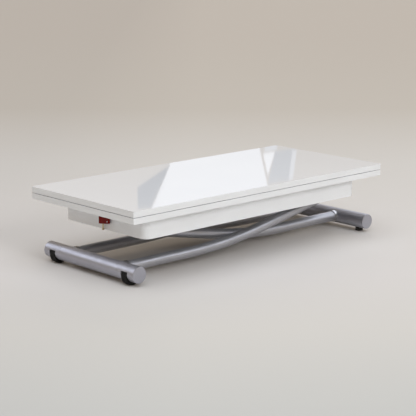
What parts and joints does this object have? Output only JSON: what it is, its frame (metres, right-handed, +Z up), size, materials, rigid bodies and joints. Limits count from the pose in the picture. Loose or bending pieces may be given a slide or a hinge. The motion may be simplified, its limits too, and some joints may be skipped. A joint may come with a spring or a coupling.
{
  "type": "lift top coffee table",
  "caption": "Low coffee table on crossed bent-tube legs between round floor bars; its folding top lifts level on a scissor to dining height, slides and opens out.",
  "frame": {"origin": "on the floor, under the middle of the closed table top", "axes": "+X along the long side towards the bar with feet, +Y towards the leaf hinges, +Z up"},
  "size_m": [1.2, 0.55, 0.263],
  "materials": {
    "white_lacquer": "gloss white lacquer on board",
    "apron_paint": "satin off-white paint",
    "bar_paint": "satin silver-grey powder coat",
    "leg_paint": "satin silver-grey powder coat",
    "bright_steel": "turned steel",
    "dark_steel": "black paint",
    "zinc_steel": "zinc plated",
    "track_metal": "anodised",
    "nylon": "natural nylon",
    "black_plastic": "moulded black",
    "tyre_rubber": "grooved rubber",
    "foot_rubber": "matt rubber",
    "red_plastic": "moulded red",
    "brass": "turned brass"
  },
  "bodies": {
    "right_floor_bar": {"right_axle": "bright_steel", "right_sleeve_front": "bar_paint", "right_sleeve_back": "bar_paint", "right_caps": "bar_paint", "feet": "foot_rubber", "foot_screws": "zinc_steel"},
    "inner_frame": {"right_hub": "bar_paint", "inner_leg_front": "leg_paint", "inner_leg_back": "leg_paint", "inner_fittings": "bright_steel", "pivot_pins": "bright_steel", "pivot_washers": "nylon"},
    "outer_frame": {"left_hub": "bar_paint", "outer_leg_front": "leg_paint", "outer_leg_back": "leg_paint", "outer_fittings": "bright_steel"},
    "left_floor_bar": {"left_axle": "bright_steel", "left_sleeve_front": "bar_paint", "left_sleeve_back": "bar_paint", "left_caps": "bar_paint", "wheel_axles": "bright_steel"},
    "wheel_unit_front": {"wheel_hub_front": "black_plastic", "tyre_front": "tyre_rubber"},
    "wheel_unit_back": {"wheel_hub_back": "black_plastic", "tyre_back": "tyre_rubber"},
    "carriage": {"carriage_shaft": "bright_steel", "slide_shoes": "nylon", "carriage_yoke": "dark_steel", "gas_rod": "bright_steel"},
    "lift_frame": {"apron_front": "apron_paint", "apron_back": "apron_paint", "apron_left": "apron_paint", "apron_right": "apron_paint", "apron_corners": "apron_paint", "cross_member_left": "dark_steel", "cross_member_right": "dark_steel", "cylinder_members": "dark_steel", "top_rails": "dark_steel", "slide_blocks": "black_plastic", "slide_rails": "track_metal", "pivot_brackets": "dark_steel", "fixed_pivot_shaft": "bright_steel", "gas_cylinder": "dark_steel", "valve_block": "dark_steel", "cable_sheath": "black_plastic", "cable_clips": "black_plastic", "lever_bracket": "zinc_steel", "lever_pin": "brass", "bracket_screws": "zinc_steel"},
    "lever": {"release_lever": "red_plastic", "cable_nipple": "bright_steel"},
    "plunger": {"valve_plunger": "bright_steel"},
    "lower_top": {"lower_leaf": "white_lacquer", "leaf_tracks": "track_metal", "hinge_plates_lower": "zinc_steel", "hinge_pins": "zinc_steel", "hinge_screws_lower": "zinc_steel"},
    "upper_top": {"upper_leaf": "white_lacquer", "hinge_plates_upper": "zinc_steel", "hinge_screws_upper": "zinc_steel"}
  },
  "joints": [
    {"name": "lift", "type": "hinge", "parent": "right_floor_bar", "child": "inner_frame", "pos_m": [0.571, 0, 0.04], "axis": [0, 1, 0], "range_deg": [0, 30]},
    {"name": "scissor_cross", "type": "hinge", "parent": "inner_frame", "child": "outer_frame", "pos_m": [0.011, 0, 0.05945], "axis": [0, -1, 0], "range_deg": [0, 60]},
    {"name": "left_bar_pivot", "type": "hinge", "parent": "outer_frame", "child": "left_floor_bar", "pos_m": [-0.549, 0, 0.04], "axis": [0, 1, 0], "range_deg": [0, 30]},
    {"name": "top_pivot", "type": "hinge", "parent": "outer_frame", "child": "lift_frame", "pos_m": [0.466, 0, 0.14818], "axis": [0, 1, 0], "range_deg": [0, 30]},
    {"name": "carriage_pivot", "type": "hinge", "parent": "inner_frame", "child": "carriage", "pos_m": [-0.444, 0, 0.14818], "axis": [0, -1, 0], "range_deg": [0, 30]},
    {"name": "wheel_front_spin", "type": "hinge", "parent": "left_floor_bar", "child": "wheel_unit_front", "pos_m": [-0.549, -0.193, 0.029], "axis": [0, 1, 0], "continuous": true},
    {"name": "wheel_back_spin", "type": "hinge", "parent": "left_floor_bar", "child": "wheel_unit_back", "pos_m": [-0.549, 0.193, 0.029], "axis": [0, 1, 0], "continuous": true},
    {"name": "top_slide", "type": "slide", "parent": "lift_frame", "child": "lower_top", "axis": [0, -1, 0], "range_m": [0, 0.2718]},
    {"name": "leaf_fold", "type": "hinge", "parent": "lower_top", "child": "upper_top", "pos_m": [0, 0.2718, 0.2417], "axis": [-1, 0, 0], "range_deg": [0, 180]},
    {"name": "release", "type": "hinge", "parent": "lift_frame", "child": "lever", "pos_m": [-0.511, -0.007, 0.177], "axis": [0, 0, -1], "range_deg": [0, 10], "stiffness_Nm_per_rad": 0.3, "springref_deg": -8.59},
    {"name": "valve", "type": "slide", "parent": "lift_frame", "child": "plunger", "axis": [-1, 0, 0], "range_m": [0, 0.0049]}
  ],
  "couplings": [
    {"joint": "scissor_cross", "follows": "lift", "ratio": 2},
    {"joint": "left_bar_pivot", "follows": "lift", "ratio": 1},
    {"joint": "top_pivot", "follows": "lift", "ratio": 1},
    {"joint": "carriage_pivot", "follows": "lift", "ratio": 1},
    {"joint": "valve", "follows": "release", "m_per_rad": 0.028}
  ]
}
